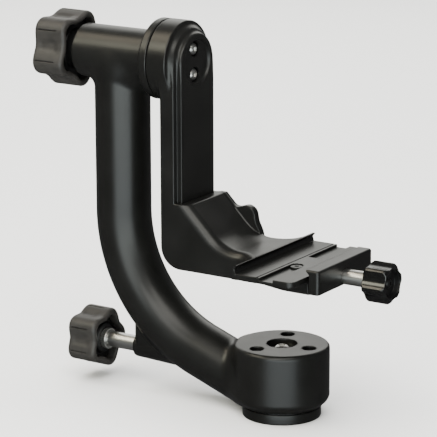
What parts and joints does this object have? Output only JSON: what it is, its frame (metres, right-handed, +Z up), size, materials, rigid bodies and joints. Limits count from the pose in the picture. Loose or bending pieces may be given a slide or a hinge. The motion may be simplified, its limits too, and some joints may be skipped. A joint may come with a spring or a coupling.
{
  "type": "gimbal tripod head",
  "caption": "Gimbal tripod head: a curved arm pans on a tripod base and carries a tilting arm with a dovetail lens clamp, locked by soft knobs.",
  "frame": {"origin": "centre of the tripod thread's mouth, in the face that sits on the tripod, on the pan axis", "axes": "+Z up along the pan axis, +X along the tilt axis from the tilt knob towards the clamp, +Y away from the side that the picture shows"},
  "size_m": [0.2348, 0.087, 0.2268],
  "materials": {
    "arm_black": "satin black coating over cast and milled aluminium",
    "knob_rubber": "matte warm grey",
    "knob_core": "matte black",
    "clamp_knob_black": "glossy black",
    "bright_steel": "polished",
    "dark_screw": "black oxide",
    "ground_steel": "ground",
    "alloy": "machined",
    "bush_brass": "turned",
    "slip_ring": "slippery off-white"
  },
  "bodies": {
    "base": {"pan_base": "arm_black", "tripod_thread_insert": "ground_steel", "pan_retaining_screw": "bright_steel", "pan_retaining_washer": "bright_steel"},
    "arm": {"arm_casting": "arm_black", "pan_bearing_carrier": "alloy", "carrier_cap_screws": "dark_screw", "pan_bushing": "bush_brass", "pan_thrust_washer": "slip_ring", "tilt_bushing_front": "bush_brass", "tilt_bushing_rear": "bush_brass", "tilt_friction_disc": "slip_ring"},
    "pan_brake": {"pan_brake_pad": "bush_brass", "pan_brake_rod": "ground_steel"},
    "pan_knob": {"pan_lock_stud": "bright_steel", "pan_knob_collar": "bright_steel", "pan_knob_core": "knob_core", "pan_knob_grip": "knob_rubber", "pan_knob_cap": "knob_core"},
    "swing": {"swing_arm": "arm_black", "swing_arm_screws": "bright_steel", "tilt_shaft": "ground_steel", "clamp_stop_screw": "dark_screw", "jaw_springs": "ground_steel"},
    "tilt_clamp": {"tilt_pressure_washer": "ground_steel"},
    "tilt_knob": {"tilt_knob_core": "knob_core", "tilt_knob_insert": "bush_brass", "tilt_knob_grip": "knob_rubber", "tilt_knob_cap": "knob_core"},
    "jaw": {"movable_jaw": "arm_black", "jaw_guide_pins": "ground_steel"},
    "clamp_knob": {"clamp_screw": "bright_steel", "clamp_knob": "clamp_knob_black", "clamp_knob_washer": "bright_steel", "clamp_knob_screw": "bright_steel"}
  },
  "joints": [
    {"name": "pan", "type": "hinge", "parent": "base", "child": "arm", "pos_m": [0, 0, 0.02], "axis": [0, 0, 1], "continuous": true},
    {"name": "pan_brake_slide", "type": "slide", "parent": "arm", "child": "pan_brake", "axis": [1, 0, 0], "range_m": [0, 0.00075]},
    {"name": "pan_lock_turn", "type": "hinge", "parent": "pan_brake", "child": "pan_knob", "pos_m": [-0.13, 0, 0.0255], "axis": [1, 0, 0], "range_deg": [0, 180]},
    {"name": "tilt", "type": "hinge", "parent": "arm", "child": "swing", "pos_m": [-0.08, 0, 0.203], "axis": [1, 0, 0], "continuous": true},
    {"name": "tilt_clamp_slide", "type": "slide", "parent": "swing", "child": "tilt_clamp", "axis": [1, 0, 0], "range_m": [-0.00075, 0]},
    {"name": "tilt_lock_turn", "type": "hinge", "parent": "tilt_clamp", "child": "tilt_knob", "pos_m": [-0.15, 0, 0.203], "axis": [1, 0, 0], "range_deg": [-180, 0]},
    {"name": "jaw_slide", "type": "slide", "parent": "swing", "child": "jaw", "axis": [1, 0, 0], "range_m": [-0.0027, 0.0032], "deforming": ["jaw_springs"]},
    {"name": "clamp_turn", "type": "hinge", "parent": "jaw", "child": "clamp_knob", "pos_m": [0.05, 0, 0.0895], "axis": [1, 0, 0], "range_deg": [-972, 1152]}
  ],
  "couplings": [
    {"joint": "pan_lock_turn", "follows": "pan_brake_slide", "rad_per_m": 4188.8},
    {"joint": "tilt_lock_turn", "follows": "tilt_clamp_slide", "rad_per_m": 4188.8},
    {"joint": "clamp_turn", "follows": "jaw_slide", "rad_per_m": 6283.2}
  ]
}
